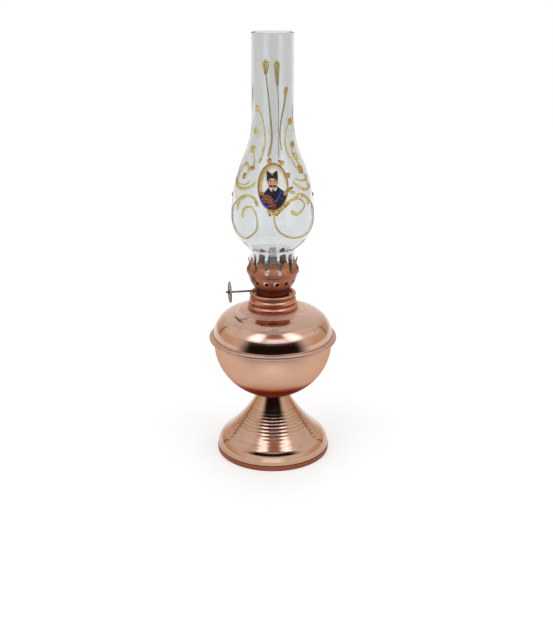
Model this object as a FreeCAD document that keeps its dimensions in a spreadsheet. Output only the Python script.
"""Copper table oil lamp with a pear-shaped glass chimney, as a parametric FreeCAD document.

The lamp stands on the XY plane with its axis on Z. The wick shaft runs along X and its
thumb wheel is on the -X side. Sizes are in millimetres, angles in degrees.
"""
import FreeCAD, Part
import os
import re
import Sketcher

DIMENSIONS = {
    # Sheet and wall thicknesses
    "copper_gauge": 0.9,
    "burner_gauge": 0.5,
    "glass_wall": 1.6,
    # Foot: a hemmed rim, a round shoulder and a trumpet that rises to the bowl
    "foot_radius": 44.9,
    "foot_hem_height": 4,
    "foot_hem_depth": 1.8,
    "foot_hem_round": 0.4,
    "shoulder_radius": 14,
    "shoulder_angle": 51.2,
    "trumpet_radius": 100,
    "foot_neck_radius": 12.1,
    "foot_seat_radius": 7,
    # Bowl: a side arc and a flatter bottom arc that run into each other
    "bowl_radius": 46.2,
    "bowl_side_radius": 41.3,
    "bowl_widest_height": 91.55,
    "bowl_bottom_height": 47.55,
    # Seam: the dome's edge is folded round the flange of the bowl
    "seam_radius": 50,
    "seam_height": 96.1,
    "seam_thickness": 4.3,
    "seam_hem_width": 3.7,
    # Dome: a side arc and a flat crown arc, with a cove above the seam
    "dome_radius": 46.8,
    "dome_side_radius": 20.3,
    "dome_widest_height": 97.7,
    "dome_top_height": 121.4,
    "dome_cove_radius": 0.4,
    "dome_hole_radius": 16.6,
    # Collar: a wide bead on the dome, a smaller one above it and a short neck
    "collar_bottom_height": 118.9,
    "collar_bore_radius": 15.9,
    "collar_foot_radius": 19,
    "collar_groove_radius": 17.7,
    "collar_groove_height": 125,
    "collar_neck_radius": 17.4,
    "collar_neck_height": 129,
    "collar_top_height": 129.8,
    "collar_lower_bead": 3.1,
    "collar_upper_bead": 3.2,
    "washer_inner_radius": 16,
    "washer_outer_radius": 17.5,
    "washer_thickness": 0.6,
    # Burner base: a skirt in the collar and a rolled bead above it
    "skirt_radius": 15.8,
    "skirt_wall": 0.9,
    "skirt_bottom_height": 125.4,
    "base_wall": 0.8,
    "base_bead_place": 16.5,
    "base_bead_radius": 1.45,
    "base_ledge_radius": 12,
    "floor_radius": 14.8,
    "floor_thickness": 0.6,
    # Air basket: a neck that swells into a cup, with a ring of draught holes
    "basket_neck_radius": 12.9,
    "basket_neck_height": 134.6,
    "basket_fillet": 3,
    "basket_flare_angle": 38.6,
    "basket_bulge": 28.1,
    "basket_top_height": 151.2,
    "basket_hole_height": 143.8,
    "basket_hole_radius": 1.5,
    "basket_hole_count": 14,
    "plate_radius": 19.5,
    "plate_thickness": 0.5,
    "plate_hole_radius": 1,
    "plate_inner_circle": 7.4,
    "plate_outer_circle": 11.6,
    "plate_inner_count": 10,
    "plate_outer_count": 18,
    # Gallery crown: a band with sprung prongs that lean in to a waist and flare at the tip
    "crown_radius": 20.12,
    "crown_bottom_height": 149.8,
    "crown_bend_height": 152,
    "crown_bend_radius": 0.9,
    "crown_lean": 27,
    "crown_waist": 18.3,
    "crown_waist_radius": 3.5,
    "crown_flare": 12,
    "crown_tip_height": 161.2,
    "crown_turn": 6.5,
    "prong_count": 12,
    "prong_gap": 3.3,
    "prong_root_height": 151.6,
    "prong_shoulder_height": 155.4,
    "prong_tip_radius": 7,
    "prong_half_pitch": 4.75,
    "prong_cut_over": 0.25,
    # Wick, its tube and the housing of the spur wheels
    "wick_width": 5.4,
    "wick_thickness": 2.2,
    "wick_top_height": 167.8,
    "wick_bottom_height": 60,
    "tube_clearance": 0.2,
    "tube_wall": 0.4,
    "tube_top_height": 161.6,
    "tube_bottom_height": 127,
    "tube_window_width": 1.4,
    "tube_window_height": 4.4,
    "housing_width": 8.8,
    "housing_back": 7.2,
    "housing_top_height": 136.8,
    "housing_wall": 0.5,
    "vent_radius": 1.6,
    "vent_bore": 1.1,
    "vent_offset": 7,
    "vent_bottom_height": 128,
    "vent_top_height": 141,
    # Wick shaft with its spur wheels and thumb wheel
    "shaft_radius": 0.8,
    "shaft_clearance": 0.06,
    "shaft_room": 0.3,
    "shaft_height": 133.2,
    "shaft_offset": 3.8,
    "shaft_end": 5.4,
    "spur_spacing": 3.2,
    "spur_thickness": 0.8,
    "spur_root_radius": 1.8,
    "spur_tip_radius": 2.6,
    "spur_tooth_half_width": 0.55,
    "spur_tooth_count": 8,
    "thumb_place": 32.5,
    "thumb_radius": 8.4,
    "thumb_rim_width": 1.2,
    "thumb_rim_thickness": 1.2,
    "thumb_web_thickness": 0.7,
    "thumb_edge_round": 0.35,
    "thumb_hub_radius": 1.7,
    "thumb_hub_height": 1.7,
    "thumb_notch_count": 36,
    "thumb_notch_radius": 0.32,
    "rivet_radius": 0.75,
    "rivet_height": 2.1,
    # Chimney: fitter, pear-shaped bulb and straight tube
    "chimney_top_height": 327,
    "chimney_seat_gap": 0.05,
    "fitter_radius": 17.05,
    "bulb_radius": 31.3,
    "bulb_widest_height": 193.5,
    "bulb_lower_radius": 30,
    "bulb_lower_angle": 55,
    "bulb_upper_radius": 108,
    "bulb_upper_angle": 24,
    "chimney_tube_radius": 15.35,
}

document = FreeCAD.newDocument("oil_lamp")
sheet = document.addObject("Spreadsheet::Sheet", "dims")
for row, (alias, size) in enumerate(DIMENSIONS.items(), start=1):
    sheet.set(f"A{row}", alias)
    sheet.set(f"B{row}", str(size))
    sheet.setAlias(f"B{row}", alias)
document.recompute()

ORIGIN = -1
X_AXIS = -1
Y_AXIS = -2
START, END = 1, 2
TO_MINUS_X = FreeCAD.Rotation(FreeCAD.Vector(0, 1, 0), -90)


# Expressions of the sheet


def bound(expression):
    """The expression as other objects read it, with each alias taken from the sheet."""
    def point_at_sheet(word):
        return f"dims.{word[0]}" if word[0] in DIMENSIONS else word[0]
    return re.sub(r"[a-z_]+", point_at_sheet, str(expression))


def number(expression):
    return float(sheet.evalExpression(str(expression)))


def half_chord(radius, offset):
    """Half the width of a circle at an offset from its centre."""
    return f"sqrt(({radius})^2 - ({offset})^2)"


def crown_arc_radius(radius, side_radius, rise):
    """Radius of the arc that closes an oval of this half width and rise over a side arc."""
    return (f"((({radius} - {side_radius})^2 + ({rise})^2 - {side_radius}^2)"
            f" / (2 * ({rise} - {side_radius})))")


# Sketches


def new_body(label):
    body = document.addObject("PartDesign::Body", label)
    body.Label = label
    return body


def origin_feature(body, role):
    return next(feature for feature in body.Origin.OriginFeatures if feature.Role == role)


def new_sketch(body, plane, name, lift="0"):
    """A sketch on one of the body's own planes, lifted along the plane's normal."""
    sketch = body.newObject("Sketcher::SketchObject", name)
    sketch.AttachmentSupport = [(origin_feature(body, plane), "")]
    sketch.MapMode = "FlatFace"
    sketch.setExpression("AttachmentOffset.Base.z", bound(lift))
    return sketch


def constrain(sketch, kind, where, expression):
    index = sketch.addConstraint(Sketcher.Constraint(kind, *where, number(expression)))
    sketch.setExpression(f"Constraints[{index}]", bound(expression))


def fix_point(sketch, geometry, end, across, along):
    """Hold a point at its two sheet expressions, measured from the sketch's origin."""
    for kind, axis, size in (("DistanceX", Y_AXIS, across), ("DistanceY", X_AXIS, along)):
        if number(size) == 0:
            sketch.addConstraint(Sketcher.Constraint("PointOnObject", geometry, end, axis))
        elif number(size) > 0:
            constrain(sketch, kind, (ORIGIN, START, geometry, end), size)
        else:
            constrain(sketch, kind, (geometry, end, ORIGIN, START), f"-({size})")


def bowed_edge(first, last, bend, radius):
    """An arc from first to last whose centre lies on the side that bend names."""
    chord = last - first
    side = FreeCAD.Vector(-chord.y, chord.x, 0).normalize()
    reach = max(radius ** 2 - (chord.Length / 2) ** 2, 0) ** 0.5
    centre = (first + last) / 2 + side * (reach if bend == "left" else -reach)
    middle = centre + ((first + last) / 2 - centre).normalize() * radius
    if reach < 1e-9:
        middle = centre - side * (radius if bend == "left" else -radius)
    return Part.ArcOfCircle(first, middle, last)


def draw_outline(sketch, corners):
    """Draw a closed outline. A corner is (across, along), and where the edge that leaves it
    is an arc, also (bend, radius): bend names the side of the centre on the way round."""
    places = [FreeCAD.Vector(number(corner[0]), number(corner[1]), 0) for corner in corners]
    edges = []
    for corner, first, last in zip(corners, places, places[1:] + places[:1]):
        if len(corner) == 2:
            geometry = sketch.addGeometry(Part.LineSegment(first, last), False)
        else:
            bend, radius = corner[2:]
            geometry = sketch.addGeometry(bowed_edge(first, last, bend, number(radius)), False)
        starts_here = sketch.getPoint(geometry, START).isEqual(first, 1e-6)
        edges.append((geometry, START, END) if starts_here else (geometry, END, START))
    for here, following in zip(edges, edges[1:] + edges[:1]):
        join = (here[0], here[2], following[0], following[1])
        sketch.addConstraint(Sketcher.Constraint("Coincident", *join))
    for corner, (geometry, end, _) in zip(corners, edges):
        fix_point(sketch, geometry, end, corner[0], corner[1])
        if len(corner) > 2:
            constrain(sketch, "Radius", (geometry,), corner[3])


def draw_circle(sketch, across, along, radius):
    centre = FreeCAD.Vector(number(across), number(along), 0)
    circle = Part.Circle(centre, FreeCAD.Vector(0, 0, 1), number(radius))
    geometry = sketch.addGeometry(circle, False)
    centre_point = 3
    fix_point(sketch, geometry, centre_point, across, along)
    constrain(sketch, "Radius", (geometry,), radius)


def draw_rectangle(sketch, left, bottom, right, top):
    draw_outline(sketch, [(left, bottom), (right, bottom), (right, top), (left, top)])


def draw_flat_oval(sketch, width, thickness):
    """A flat tube's outline: two straight sides and two round edges, about the origin."""
    half = f"({width} - {thickness}) / 2"
    radius = f"({thickness}) / 2"
    tip = f"({width}) / 2"
    draw_outline(sketch, [
        (f"-({half})", f"-({radius})"),
        (half, f"-({radius})", "left", radius),
        (tip, "0", "left", radius),
        (half, radius),
        (f"-({half})", radius, "left", radius),
        (f"-({tip})", "0", "left", radius),
    ])


# Features


def revolve(label, corners):
    """A body of revolution about Z from an outline of (radius, height) corners."""
    body = new_body(label)
    sketch = new_sketch(body, "XZ_Plane", f"{label}_section")
    draw_outline(sketch, corners)
    turned = body.newObject("PartDesign::Revolution", f"{label}_turned")
    turned.Profile = sketch
    turned.ReferenceAxis = (sketch, ["V_Axis"])
    turned.Angle = 360
    document.recompute()
    return body


def pad(body, sketch, length, name, both_sides=False):
    feature = body.newObject("PartDesign::Pad", name)
    feature.Profile = sketch
    feature.setExpression("Length", bound(length))
    feature.Midplane = both_sides
    document.recompute()
    return feature


def pocket(body, sketch, length, name, reverse=False, both_sides=False):
    """Cut the sketch out of the body and see that the cut took something away."""
    before = body.Shape.Volume
    feature = body.newObject("PartDesign::Pocket", name)
    feature.Profile = sketch
    feature.setExpression("Length", bound(length))
    feature.Reversed = reverse
    feature.Midplane = both_sides
    document.recompute()
    if body.Shape.Volume >= before:
        raise RuntimeError(f"{name} cuts nothing")
    return feature


def repeat_round(body, feature, count, name):
    pattern = body.newObject("PartDesign::PolarPattern", name)
    pattern.Originals = [feature]
    pattern.Axis = (origin_feature(body, "Z_Axis"), [""])
    pattern.Angle = 360
    pattern.setExpression("Occurrences", bound(count))
    body.Tip = pattern
    document.recompute()


def place(piece, across, depth, height, rotation=None):
    if rotation is not None:
        piece.Placement = FreeCAD.Placement(FreeCAD.Vector(), rotation)
    for axis, size in zip("xyz", (across, depth, height)):
        piece.setExpression(f"Placement.Base.{axis}", bound(size))
    document.recompute()
    return piece


# Font: foot, bowl, dome and collar

BOWL_RISE = "(bowl_widest_height - bowl_bottom_height)"
BOWL_BOTTOM_RADIUS = crown_arc_radius("bowl_radius", "bowl_side_radius", BOWL_RISE)
BOWL_BOTTOM_CENTRE = f"(bowl_bottom_height + {BOWL_BOTTOM_RADIUS})"
DOME_RISE = "(dome_top_height - dome_widest_height)"
DOME_TOP_RADIUS = crown_arc_radius("dome_radius", "dome_side_radius", DOME_RISE)
DOME_TOP_CENTRE = f"(dome_top_height - {DOME_TOP_RADIUS})"


def under_bowl(radius, below="0"):
    """Height of the bowl's underside at a radius, or of a surface some way below it."""
    return f"({BOWL_BOTTOM_CENTRE} - {half_chord(f'{BOWL_BOTTOM_RADIUS} + {below}', radius)})"


def over_dome(radius, below="0"):
    """Height of the dome's crown at a radius, or of a surface some way below it."""
    return f"({DOME_TOP_CENTRE} + {half_chord(f'{DOME_TOP_RADIUS} - {below}', radius)})"


def oval_join(radius, side_radius, widest_height, arc_radius, arc_centre, inset):
    """The point where the side arc of an oval runs into its crown arc, inset from the skin."""
    share = f"(({arc_radius} - {inset}) / ({arc_radius} - {side_radius}))"
    return (f"({radius} - {side_radius}) * {share}",
            f"{arc_centre} + ({widest_height} - {arc_centre}) * {share}")


def oval_side(radius, side_radius, widest_height, height, inset):
    """Radius of an oval's side arc at a height, inset from the skin."""
    return (f"({radius} - {side_radius}"
            f" + {half_chord(f'{side_radius} - {inset}', f'{height} - {widest_height}')})")


def make_foot():
    hem_inside = "foot_radius - foot_hem_depth"
    rise_start = "foot_radius - foot_hem_round"
    join_radius = f"{rise_start} - shoulder_radius * (1 - cos(shoulder_angle))"
    join_height = "foot_hem_height + shoulder_radius * sin(shoulder_angle)"
    neck_inside = "foot_neck_radius - 1.2 * copper_gauge"
    return revolve("foot", [
        (hem_inside, "0"),
        (rise_start, "0", "left", "foot_hem_round"),
        ("foot_radius", "foot_hem_round"),
        ("foot_radius", "foot_hem_height - foot_hem_round", "left", "foot_hem_round"),
        (rise_start, "foot_hem_height", "left", "shoulder_radius"),
        (join_radius, join_height, "right", "trumpet_radius"),
        ("foot_neck_radius", under_bowl("foot_neck_radius"), "right", BOWL_BOTTOM_RADIUS),
        ("foot_seat_radius", under_bowl("foot_seat_radius")),
        ("foot_seat_radius", under_bowl("foot_seat_radius", "copper_gauge"),
         "left", f"{BOWL_BOTTOM_RADIUS} + copper_gauge"),
        (neck_inside, under_bowl(neck_inside, "copper_gauge"),
         "left", "trumpet_radius + copper_gauge"),
        (f"{join_radius} - copper_gauge * cos(shoulder_angle)",
         f"{join_height} - copper_gauge * sin(shoulder_angle)",
         "right", "shoulder_radius - copper_gauge"),
        (f"{rise_start} - copper_gauge", "foot_hem_height"),
        (hem_inside, "foot_hem_height"),
    ])


def make_font_bowl():
    flange_edge = "seam_radius - seam_thickness / 2"
    flange_under = "seam_height - copper_gauge / 2"
    flange_over = "seam_height + copper_gauge / 2"
    oval = ("bowl_radius", "bowl_side_radius", "bowl_widest_height")
    bottom = (BOWL_BOTTOM_RADIUS, BOWL_BOTTOM_CENTRE)
    return revolve("font_bowl", [
        ("0", "bowl_bottom_height", "left", BOWL_BOTTOM_RADIUS),
        (*oval_join(*oval, *bottom, "0"), "left", "bowl_side_radius"),
        (oval_side(*oval, flange_under, "0"), flange_under),
        (flange_edge, flange_under),
        (flange_edge, flange_over),
        (oval_side(*oval, flange_over, "copper_gauge"), flange_over,
         "right", "bowl_side_radius - copper_gauge"),
        (*oval_join(*oval, *bottom, "copper_gauge"), "right", f"{BOWL_BOTTOM_RADIUS} - copper_gauge"),
        ("0", "bowl_bottom_height + copper_gauge"),
    ])


def make_font_dome():
    round_end = "seam_thickness / 2"
    fold = f"seam_radius - {round_end}"
    fold_tip = f"{fold} + copper_gauge / 2"
    hem_edge = "seam_radius - seam_hem_width"
    seam_top = f"seam_height + {round_end}"
    cove_top = f"{seam_top} + dome_cove_radius"
    flange_over = "seam_height + copper_gauge / 2"
    oval = ("dome_radius", "dome_side_radius", "dome_widest_height")
    crown = (DOME_TOP_RADIUS, DOME_TOP_CENTRE)
    wall = oval_side(*oval, cove_top, "0")
    return revolve("font_dome", [
        (hem_edge, f"seam_height - {round_end}"),
        (fold, f"seam_height - {round_end}", "left", round_end),
        ("seam_radius", "seam_height", "left", round_end),
        (fold, seam_top),
        (f"{wall} + dome_cove_radius", seam_top, "right", "dome_cove_radius"),
        (wall, cove_top, "left", "dome_side_radius"),
        (*oval_join(*oval, *crown, "0"), "left", DOME_TOP_RADIUS),
        ("dome_hole_radius", over_dome("dome_hole_radius")),
        ("dome_hole_radius", over_dome("dome_hole_radius", "copper_gauge"),
         "right", f"{DOME_TOP_RADIUS} - copper_gauge"),
        (*oval_join(*oval, *crown, "copper_gauge"), "right", "dome_side_radius - copper_gauge"),
        (oval_side(*oval, flange_over, "copper_gauge"), flange_over),
        (fold, flange_over, "right", "copper_gauge / 2"),
        (fold_tip, "seam_height", "right", "copper_gauge / 2"),
        (fold, "seam_height - copper_gauge / 2"),
        (hem_edge, "seam_height - copper_gauge / 2"),
    ])


def make_font_collar():
    return revolve("font_collar", [
        ("collar_bore_radius", "collar_bottom_height"),
        ("dome_hole_radius", "collar_bottom_height"),
        ("dome_hole_radius", over_dome("dome_hole_radius"), "right", DOME_TOP_RADIUS),
        ("collar_foot_radius", over_dome("collar_foot_radius"), "left", "collar_lower_bead"),
        ("collar_groove_radius", "collar_groove_height", "left", "collar_upper_bead"),
        ("collar_neck_radius", "collar_neck_height"),
        ("collar_neck_radius", "collar_top_height"),
        ("collar_bore_radius", "collar_top_height"),
    ])


# Burner: washer, base, floor, basket, plate and crown

FLANGE_HEIGHT = "(collar_top_height + washer_thickness)"
LEDGE_HEIGHT = f"({FLANGE_HEIGHT} + base_wall)"
TUBE_WIDTH = "(wick_width + 2 * tube_clearance + 2 * tube_wall)"
TUBE_THICKNESS = "(wick_thickness + 2 * tube_clearance + 2 * tube_wall)"


def make_collar_washer():
    body = new_body("collar_washer")
    sketch = new_sketch(body, "XY_Plane", "collar_washer_ring", "collar_top_height")
    draw_circle(sketch, "0", "0", "washer_outer_radius")
    draw_circle(sketch, "0", "0", "washer_inner_radius")
    pad(body, sketch, "washer_thickness", "collar_washer_pad")
    return body


def make_burner_base():
    skirt_inside = "skirt_radius - skirt_wall"
    bead_middle = f"{FLANGE_HEIGHT} + base_bead_radius"
    body = revolve("burner_base", [
        (skirt_inside, "skirt_bottom_height"),
        ("skirt_radius", "skirt_bottom_height"),
        ("skirt_radius", FLANGE_HEIGHT),
        ("base_bead_place", FLANGE_HEIGHT, "left", "base_bead_radius"),
        ("base_bead_place + base_bead_radius", bead_middle, "left", "base_bead_radius"),
        ("base_bead_place", f"{bead_middle} + base_bead_radius", "left", "base_bead_radius"),
        ("base_bead_place - base_bead_radius", bead_middle),
        ("base_bead_place - base_bead_radius", LEDGE_HEIGHT),
        ("base_ledge_radius", LEDGE_HEIGHT),
        ("base_ledge_radius", FLANGE_HEIGHT),
        (skirt_inside, FLANGE_HEIGHT),
    ])
    sketch = new_sketch(body, "YZ_Plane", "burner_base_notch_circle")
    draw_circle(sketch, "shaft_offset", "shaft_height", "shaft_radius + shaft_room")
    pocket(body, sketch, "crown_radius", "burner_base_notch")
    return body


def make_burner_floor():
    body = new_body("burner_floor")
    sketch = new_sketch(body, "XY_Plane", "burner_floor_disc", f"{FLANGE_HEIGHT} - floor_thickness")
    draw_circle(sketch, "0", "0", "floor_radius")
    draw_flat_oval(sketch, TUBE_WIDTH, TUBE_THICKNESS)
    draw_circle(sketch, "0", "-vent_offset", "vent_radius")
    pad(body, sketch, "floor_thickness", "burner_floor_pad")
    return body


def make_air_basket():
    inside = "basket_neck_radius - burner_gauge"
    turn = ("cos(basket_flare_angle)", "sin(basket_flare_angle)")
    flare = (f"basket_neck_radius + basket_fillet * (1 - {turn[0]})",
             f"basket_neck_height + basket_fillet * {turn[1]}")
    centre = (f"({flare[0]} - basket_bulge * {turn[0]})", f"({flare[1]} + basket_bulge * {turn[1]})")
    drop = f"basket_top_height - {centre[1]}"
    body = revolve("air_basket", [
        (inside, LEDGE_HEIGHT),
        ("basket_neck_radius", LEDGE_HEIGHT),
        ("basket_neck_radius", "basket_neck_height", "right", "basket_fillet"),
        (*flare, "left", "basket_bulge"),
        (f"{centre[0]} + {half_chord('basket_bulge', drop)}", "basket_top_height"),
        (f"{centre[0]} + {half_chord('basket_bulge - burner_gauge', drop)}", "basket_top_height",
         "right", "basket_bulge - burner_gauge"),
        (f"{flare[0]} - burner_gauge * {turn[0]}", f"{flare[1]} + burner_gauge * {turn[1]}",
         "left", "basket_fillet + burner_gauge"),
        (inside, "basket_neck_height"),
    ])
    sketch = new_sketch(body, "YZ_Plane", "air_basket_bearing_circle")
    draw_circle(sketch, "shaft_offset", "shaft_height", "shaft_radius + shaft_clearance")
    pocket(body, sketch, "crown_radius", "air_basket_bearing")
    sketch = new_sketch(body, "XZ_Plane", "air_basket_hole_circle")
    draw_circle(sketch, "0", "basket_hole_height", "basket_hole_radius")
    hole = pocket(body, sketch, "crown_radius", "air_basket_hole")
    repeat_round(body, hole, "basket_hole_count", "air_basket_holes")
    return body


def make_diffuser_plate():
    body = new_body("diffuser_plate")
    sketch = new_sketch(body, "XY_Plane", "diffuser_plate_disc", "basket_top_height")
    draw_circle(sketch, "0", "0", "plate_radius")
    draw_flat_oval(sketch, TUBE_WIDTH, TUBE_THICKNESS)
    pad(body, sketch, "plate_thickness", "diffuser_plate_pad")
    for ring in ("inner", "outer"):
        sketch = new_sketch(body, "XY_Plane", f"diffuser_plate_{ring}_circle",
                            "basket_top_height + plate_thickness")
        draw_circle(sketch, f"plate_{ring}_circle", "0", "plate_hole_radius")
        hole = pocket(body, sketch, "2 * plate_thickness", f"diffuser_plate_{ring}_hole")
        repeat_round(body, hole, f"plate_{ring}_count", f"diffuser_plate_{ring}_holes")
    return body


def make_gallery_crown():
    lean = ("cos(crown_lean)", "sin(crown_lean)")
    flare = ("cos(crown_flare)", "sin(crown_flare)")
    bend = (f"(crown_radius - crown_bend_radius * (1 - {lean[0]}))",
            f"(crown_bend_height + crown_bend_radius * {lean[1]})")
    waist_start_radius = f"(crown_waist + crown_waist_radius * (1 - {lean[0]}))"
    waist_start = (waist_start_radius, f"({bend[1]} + ({bend[0]} - {waist_start_radius}) / tan(crown_lean))")
    waist_end = (f"(crown_waist + crown_waist_radius * (1 - {flare[0]}))",
                 f"({waist_start[1]} + crown_waist_radius * ({lean[1]} + {flare[1]}))")
    tip_radius = f"({waist_end[0]} + (crown_tip_height - {waist_end[1]}) * tan(crown_flare))"
    inside = "crown_radius - burner_gauge"
    body = revolve("gallery_crown", [
        (inside, "crown_bottom_height"),
        ("crown_radius", "crown_bottom_height"),
        ("crown_radius", "crown_bend_height", "left", "crown_bend_radius"),
        bend,
        (*waist_start, "right", "crown_waist_radius"),
        waist_end,
        (tip_radius, "crown_tip_height"),
        (f"{tip_radius} - burner_gauge / {flare[0]}", "crown_tip_height"),
        (f"{waist_end[0]} - burner_gauge * {flare[0]}", f"{waist_end[1]} + burner_gauge * {flare[1]}",
         "left", "crown_waist_radius + burner_gauge"),
        (f"{waist_start[0]} - burner_gauge * {lean[0]}", f"{waist_start[1]} - burner_gauge * {lean[1]}"),
        (f"{bend[0]} - burner_gauge * {lean[0]}", f"{bend[1]} - burner_gauge * {lean[1]}",
         "right", "crown_bend_radius - burner_gauge"),
        (inside, "crown_bend_height"),
    ])
    half_gap = "prong_gap / 2"
    over = "crown_tip_height + prong_cut_over"
    sketch = new_sketch(body, "XZ_Plane", "gallery_crown_gap_outline")
    draw_outline(sketch, [
        (f"-({half_gap})", f"prong_root_height + {half_gap}", "left", half_gap),
        ("0", "prong_root_height", "left", half_gap),
        (half_gap, f"prong_root_height + {half_gap}"),
        (half_gap, "prong_shoulder_height", "right", "prong_tip_radius"),
        ("prong_half_pitch", over),
        ("-prong_half_pitch", over, "right", "prong_tip_radius"),
        (f"-({half_gap})", "prong_shoulder_height"),
    ])
    gap = pocket(body, sketch, "2 * crown_radius", "gallery_crown_gap")
    repeat_round(body, gap, "prong_count", "gallery_crown_gaps")
    body.Placement = FreeCAD.Placement()
    body.setExpression("Placement.Rotation.Angle", bound("crown_turn"))
    document.recompute()
    return body


# Wick, tube, housing and vent


def make_wick_tube():
    body = new_body("wick_tube")
    sketch = new_sketch(body, "XY_Plane", "wick_tube_section", "tube_bottom_height")
    draw_flat_oval(sketch, TUBE_WIDTH, TUBE_THICKNESS)
    draw_flat_oval(sketch, "wick_width + 2 * tube_clearance", "wick_thickness + 2 * tube_clearance")
    pad(body, sketch, "tube_top_height - tube_bottom_height", "wick_tube_pad")
    sketch = new_sketch(body, "XZ_Plane", "wick_tube_windows")
    for middle in ("-spur_spacing / 2", "spur_spacing / 2"):
        draw_rectangle(sketch,
                       f"{middle} - tube_window_width / 2", "shaft_height - tube_window_height / 2",
                       f"{middle} + tube_window_width / 2", "shaft_height + tube_window_height / 2")
    pocket(body, sketch, TUBE_THICKNESS, "wick_tube_window_cut")
    return body


def housing_outline(inset, opening):
    """Side view of the spur housing: flat against the tube, round over the wheels."""
    face = f"{TUBE_THICKNESS} / 2 - {opening}"
    back = f"housing_back - {inset}"
    top = f"housing_top_height - {inset}"
    round_radius = f"({top} - shaft_height)"
    return [
        (face, f"{FLANGE_HEIGHT} - {opening}"),
        (back, f"{FLANGE_HEIGHT} - {opening}"),
        (back, "shaft_height", "left", round_radius),
        (f"{back} - {round_radius}", top),
        (face, top),
    ]


def make_spur_housing():
    body = new_body("spur_housing")
    sketch = new_sketch(body, "YZ_Plane", "spur_housing_side")
    draw_outline(sketch, housing_outline("0", "0"))
    pad(body, sketch, "housing_width", "spur_housing_pad", both_sides=True)
    sketch = new_sketch(body, "YZ_Plane", "spur_housing_room_side")
    draw_outline(sketch, housing_outline("housing_wall", "housing_wall"))
    pocket(body, sketch, "housing_width - 2 * housing_wall", "spur_housing_room", both_sides=True)
    sketch = new_sketch(body, "YZ_Plane", "spur_housing_bearing_circle")
    draw_circle(sketch, "shaft_offset", "shaft_height", "shaft_radius + shaft_clearance")
    pocket(body, sketch, "2 * housing_width", "spur_housing_bearing", both_sides=True)
    return body


def make_vent_tube():
    body = new_body("vent_tube")
    sketch = new_sketch(body, "XY_Plane", "vent_tube_section", "vent_bottom_height")
    draw_circle(sketch, "0", "-vent_offset", "vent_radius")
    draw_circle(sketch, "0", "-vent_offset", "vent_bore")
    pad(body, sketch, "vent_top_height - vent_bottom_height", "vent_tube_pad")
    return body


def make_wick():
    body = new_body("wick")
    sketch = new_sketch(body, "XY_Plane", "wick_section", "wick_bottom_height")
    draw_flat_oval(sketch, "wick_width", "wick_thickness")
    pad(body, sketch, "wick_top_height - wick_bottom_height", "wick_pad")
    return body


# Shaft, spur wheels and thumb wheel


def make_wick_shaft():
    shaft = document.addObject("Part::Cylinder", "wick_shaft")
    shaft.Label = "wick_shaft"
    shaft.setExpression("Radius", bound("shaft_radius"))
    shaft.setExpression("Height", bound("thumb_place + thumb_hub_height + shaft_end"))
    return place(shaft, "shaft_end", "shaft_offset", "shaft_height", TO_MINUS_X)


def make_spur_wheel(label, middle):
    body = new_body(label)
    sketch = new_sketch(body, "XY_Plane", f"{label}_disc", "-spur_thickness / 2")
    draw_circle(sketch, "0", "0", "spur_root_radius")
    draw_circle(sketch, "0", "0", "shaft_radius")
    pad(body, sketch, "spur_thickness", f"{label}_pad")
    sketch = new_sketch(body, "XY_Plane", f"{label}_tooth_outline", "-spur_thickness / 2")
    inside = "(shaft_radius + spur_root_radius) / 2"
    draw_outline(sketch, [
        (inside, "-spur_tooth_half_width"),
        ("spur_tip_radius", "0"),
        (inside, "spur_tooth_half_width"),
    ])
    tooth = pad(body, sketch, "spur_thickness", f"{label}_tooth")
    repeat_round(body, tooth, "spur_tooth_count", f"{label}_teeth")
    return place(body, middle, "shaft_offset", "shaft_height", TO_MINUS_X)


def make_thumb_wheel():
    body = revolve("thumb_wheel", [
        ("shaft_radius", "0"),
        ("thumb_radius - thumb_edge_round", "0", "left", "thumb_edge_round"),
        ("thumb_radius", "thumb_edge_round"),
        ("thumb_radius", "thumb_rim_thickness - thumb_edge_round", "left", "thumb_edge_round"),
        ("thumb_radius - thumb_edge_round", "thumb_rim_thickness"),
        ("thumb_radius - thumb_rim_width", "thumb_rim_thickness"),
        ("thumb_radius - thumb_rim_width - thumb_edge_round", "thumb_web_thickness"),
        ("thumb_hub_radius + thumb_edge_round", "thumb_web_thickness", "right", "thumb_edge_round"),
        ("thumb_hub_radius", "thumb_web_thickness + thumb_edge_round"),
        ("thumb_hub_radius", "thumb_hub_height - thumb_edge_round", "left", "thumb_edge_round"),
        ("thumb_hub_radius - thumb_edge_round", "thumb_hub_height"),
        ("shaft_radius", "thumb_hub_height"),
    ])
    sketch = new_sketch(body, "XY_Plane", "thumb_wheel_notch_circle", "thumb_rim_thickness")
    draw_circle(sketch, "thumb_radius", "0", "thumb_notch_radius")
    notch = pocket(body, sketch, "2 * thumb_rim_thickness", "thumb_wheel_notch")
    repeat_round(body, notch, "thumb_notch_count", "thumb_wheel_notches")
    return place(body, "-thumb_place", "shaft_offset", "shaft_height", TO_MINUS_X)


def make_thumb_rivet():
    body = revolve("thumb_rivet", [
        ("0", "0"),
        ("rivet_radius", "0"),
        ("rivet_radius", "rivet_height - rivet_radius", "left", "rivet_radius"),
        ("0", "rivet_height"),
    ])
    return place(body, "-(thumb_place + thumb_hub_height)", "shaft_offset", "shaft_height", TO_MINUS_X)


# Chimney


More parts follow.
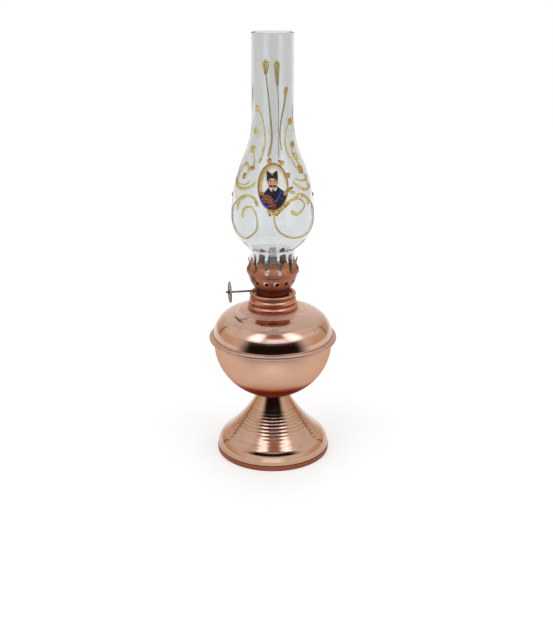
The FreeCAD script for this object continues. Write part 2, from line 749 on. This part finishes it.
def make_chimney():
    low = ("cos(bulb_lower_angle)", "sin(bulb_lower_angle)")
    high = ("cos(bulb_upper_angle)", "sin(bulb_upper_angle)")
    root_radius = f"((bulb_radius - fitter_radius) / (1 - {low[0]}) - bulb_lower_radius)"
    shoulder_radius = f"((bulb_radius - chimney_tube_radius) / (1 - {high[0]}) - bulb_upper_radius)"
    root = (f"(bulb_radius - bulb_lower_radius * (1 - {low[0]}))",
            f"(bulb_widest_height - bulb_lower_radius * {low[1]})")
    shoulder = (f"(bulb_radius - bulb_upper_radius * (1 - {high[0]}))",
                f"(bulb_widest_height + bulb_upper_radius * {high[1]})")
    seat = "basket_top_height + plate_thickness + chimney_seat_gap"
    fitter_top = f"{root[1]} - {root_radius} * {low[1]}"
    tube_bottom = f"{shoulder[1]} + {shoulder_radius} * {high[1]}"
    rim = "glass_wall / 2"
    rim_start = f"chimney_top_height - {rim}"
    return revolve("chimney", [
        ("fitter_radius - glass_wall", seat),
        ("fitter_radius", seat),
        ("fitter_radius", fitter_top, "right", root_radius),
        (*root, "left", "bulb_lower_radius"),
        ("bulb_radius", "bulb_widest_height", "left", "bulb_upper_radius"),
        (*shoulder, "right", shoulder_radius),
        ("chimney_tube_radius", tube_bottom),
        ("chimney_tube_radius", rim_start, "left", rim),
        (f"chimney_tube_radius - {rim}", "chimney_top_height", "left", rim),
        ("chimney_tube_radius - glass_wall", rim_start),
        ("chimney_tube_radius - glass_wall", tube_bottom, "left", f"{shoulder_radius} + glass_wall"),
        (f"{shoulder[0]} - glass_wall * {high[0]}", f"{shoulder[1]} - glass_wall * {high[1]}",
         "right", "bulb_upper_radius - glass_wall"),
        ("bulb_radius - glass_wall", "bulb_widest_height", "right", "bulb_lower_radius - glass_wall"),
        (f"{root[0]} - glass_wall * {low[0]}", f"{root[1]} + glass_wall * {low[1]}",
         "left", f"{root_radius} + glass_wall"),
        ("fitter_radius - glass_wall", fitter_top),
    ])


PIECES = [
    make_foot(),
    make_font_bowl(),
    make_font_dome(),
    make_font_collar(),
    make_collar_washer(),
    make_burner_base(),
    make_burner_floor(),
    make_air_basket(),
    make_diffuser_plate(),
    make_gallery_crown(),
    make_wick_tube(),
    make_spur_housing(),
    make_vent_tube(),
    make_wick(),
    make_wick_shaft(),
    make_spur_wheel("spur_wheel_left", "-spur_spacing / 2"),
    make_spur_wheel("spur_wheel_right", "spur_spacing / 2"),
    make_thumb_wheel(),
    make_thumb_rivet(),
    make_chimney(),
]

document.recompute()
for item in document.Objects:
    if "Invalid" in item.State or "Error" in item.State:
        raise RuntimeError(f"{item.Label} failed: {item.State}")
for piece in PIECES:
    if piece.Shape.isNull() or not piece.Shape.isValid() or len(piece.Shape.Solids) != 1:
        raise RuntimeError(f"{piece.Label} is not one valid solid")

os.makedirs("parts", exist_ok=True)
for piece in PIECES:
    piece.Shape.exportStep(f"parts/{piece.Label}.step")
    box = piece.Shape.BoundBox
    print(f"{piece.Label:18s} {piece.Shape.Volume:10.1f} mm3"
          f"  x {box.XMin:.2f} {box.XMax:.2f}  y {box.YMin:.2f} {box.YMax:.2f}"
          f"  z {box.ZMin:.2f} {box.ZMax:.2f}")
